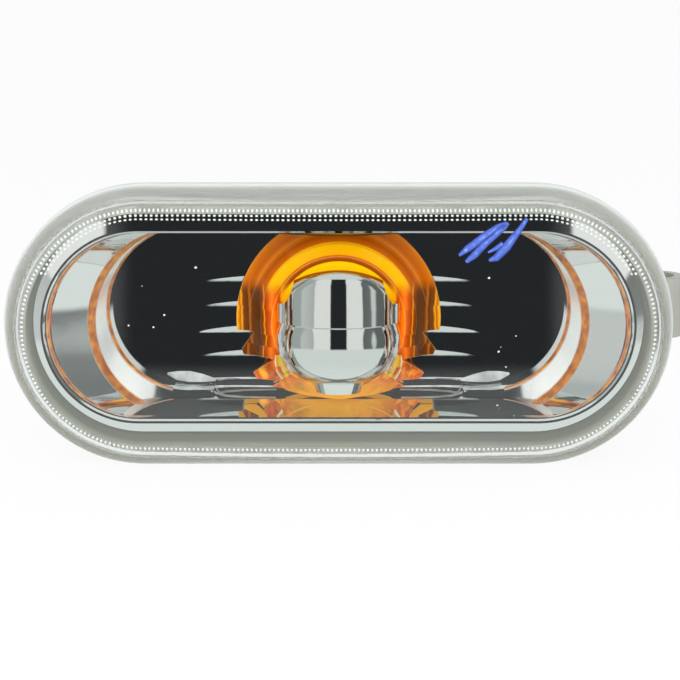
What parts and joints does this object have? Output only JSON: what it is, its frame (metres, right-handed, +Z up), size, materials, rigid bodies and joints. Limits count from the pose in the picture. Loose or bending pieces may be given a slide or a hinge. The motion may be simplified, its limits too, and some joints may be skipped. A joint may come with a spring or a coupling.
{
  "type": "vehicle side indicator lamp",
  "caption": "Oval side indicator lamp: clear lens over a stepped metallised reflector, amber filter and bulb shield, with a twist-lock bulb holder behind.",
  "frame": {"origin": "middle of the gasket's rear face, where the lamp seats on the wing", "axes": "+X along the lamp towards its sprung loop, +Y rearwards through the wing, +Z up; the lens faces -Y"},
  "size_m": [0.0903, 0.0477, 0.0372],
  "materials": {
    "clear_lens": "moulded clear acrylic",
    "grey_body": "moulded ABS, pale grey",
    "foam_rubber": "die-cut EPDM foam",
    "bright_metallised": "vacuum-metallised plastic",
    "amber_plastic": "moulded amber polycarbonate",
    "shield_metallised": "vacuum-metallised plastic",
    "holder_plastic": "moulded glass-filled nylon, black",
    "seal_rubber": "moulded silicone rubber",
    "contact_brass": "tin-plated brass strip",
    "bulb_glass": "clear soda-lime glass",
    "tungsten": "drawn tungsten",
    "lead_wire": "drawn nickel-iron wire"
  },
  "bodies": {
    "lamp": {"lens": "clear_lens", "panel_gasket": "foam_rubber", "reflector": "bright_metallised", "housing": "grey_body", "amber_filter": "amber_plastic", "bulb_shield": "shield_metallised"},
    "bulb_carrier": {"bulb_holder": "holder_plastic", "holder_seal": "seal_rubber", "contact_left": "contact_brass", "contact_right": "contact_brass", "bulb_glass": "bulb_glass", "bulb_filament": "tungsten", "bulb_lead_left": "lead_wire", "bulb_lead_right": "lead_wire"}
  },
  "joints": [
    {"name": "holder_twist", "type": "hinge", "parent": "lamp", "child": "bulb_carrier", "pos_m": [0, 0.012, 0], "axis": [0, 1, 0], "range_deg": [0, 45]}
  ]
}
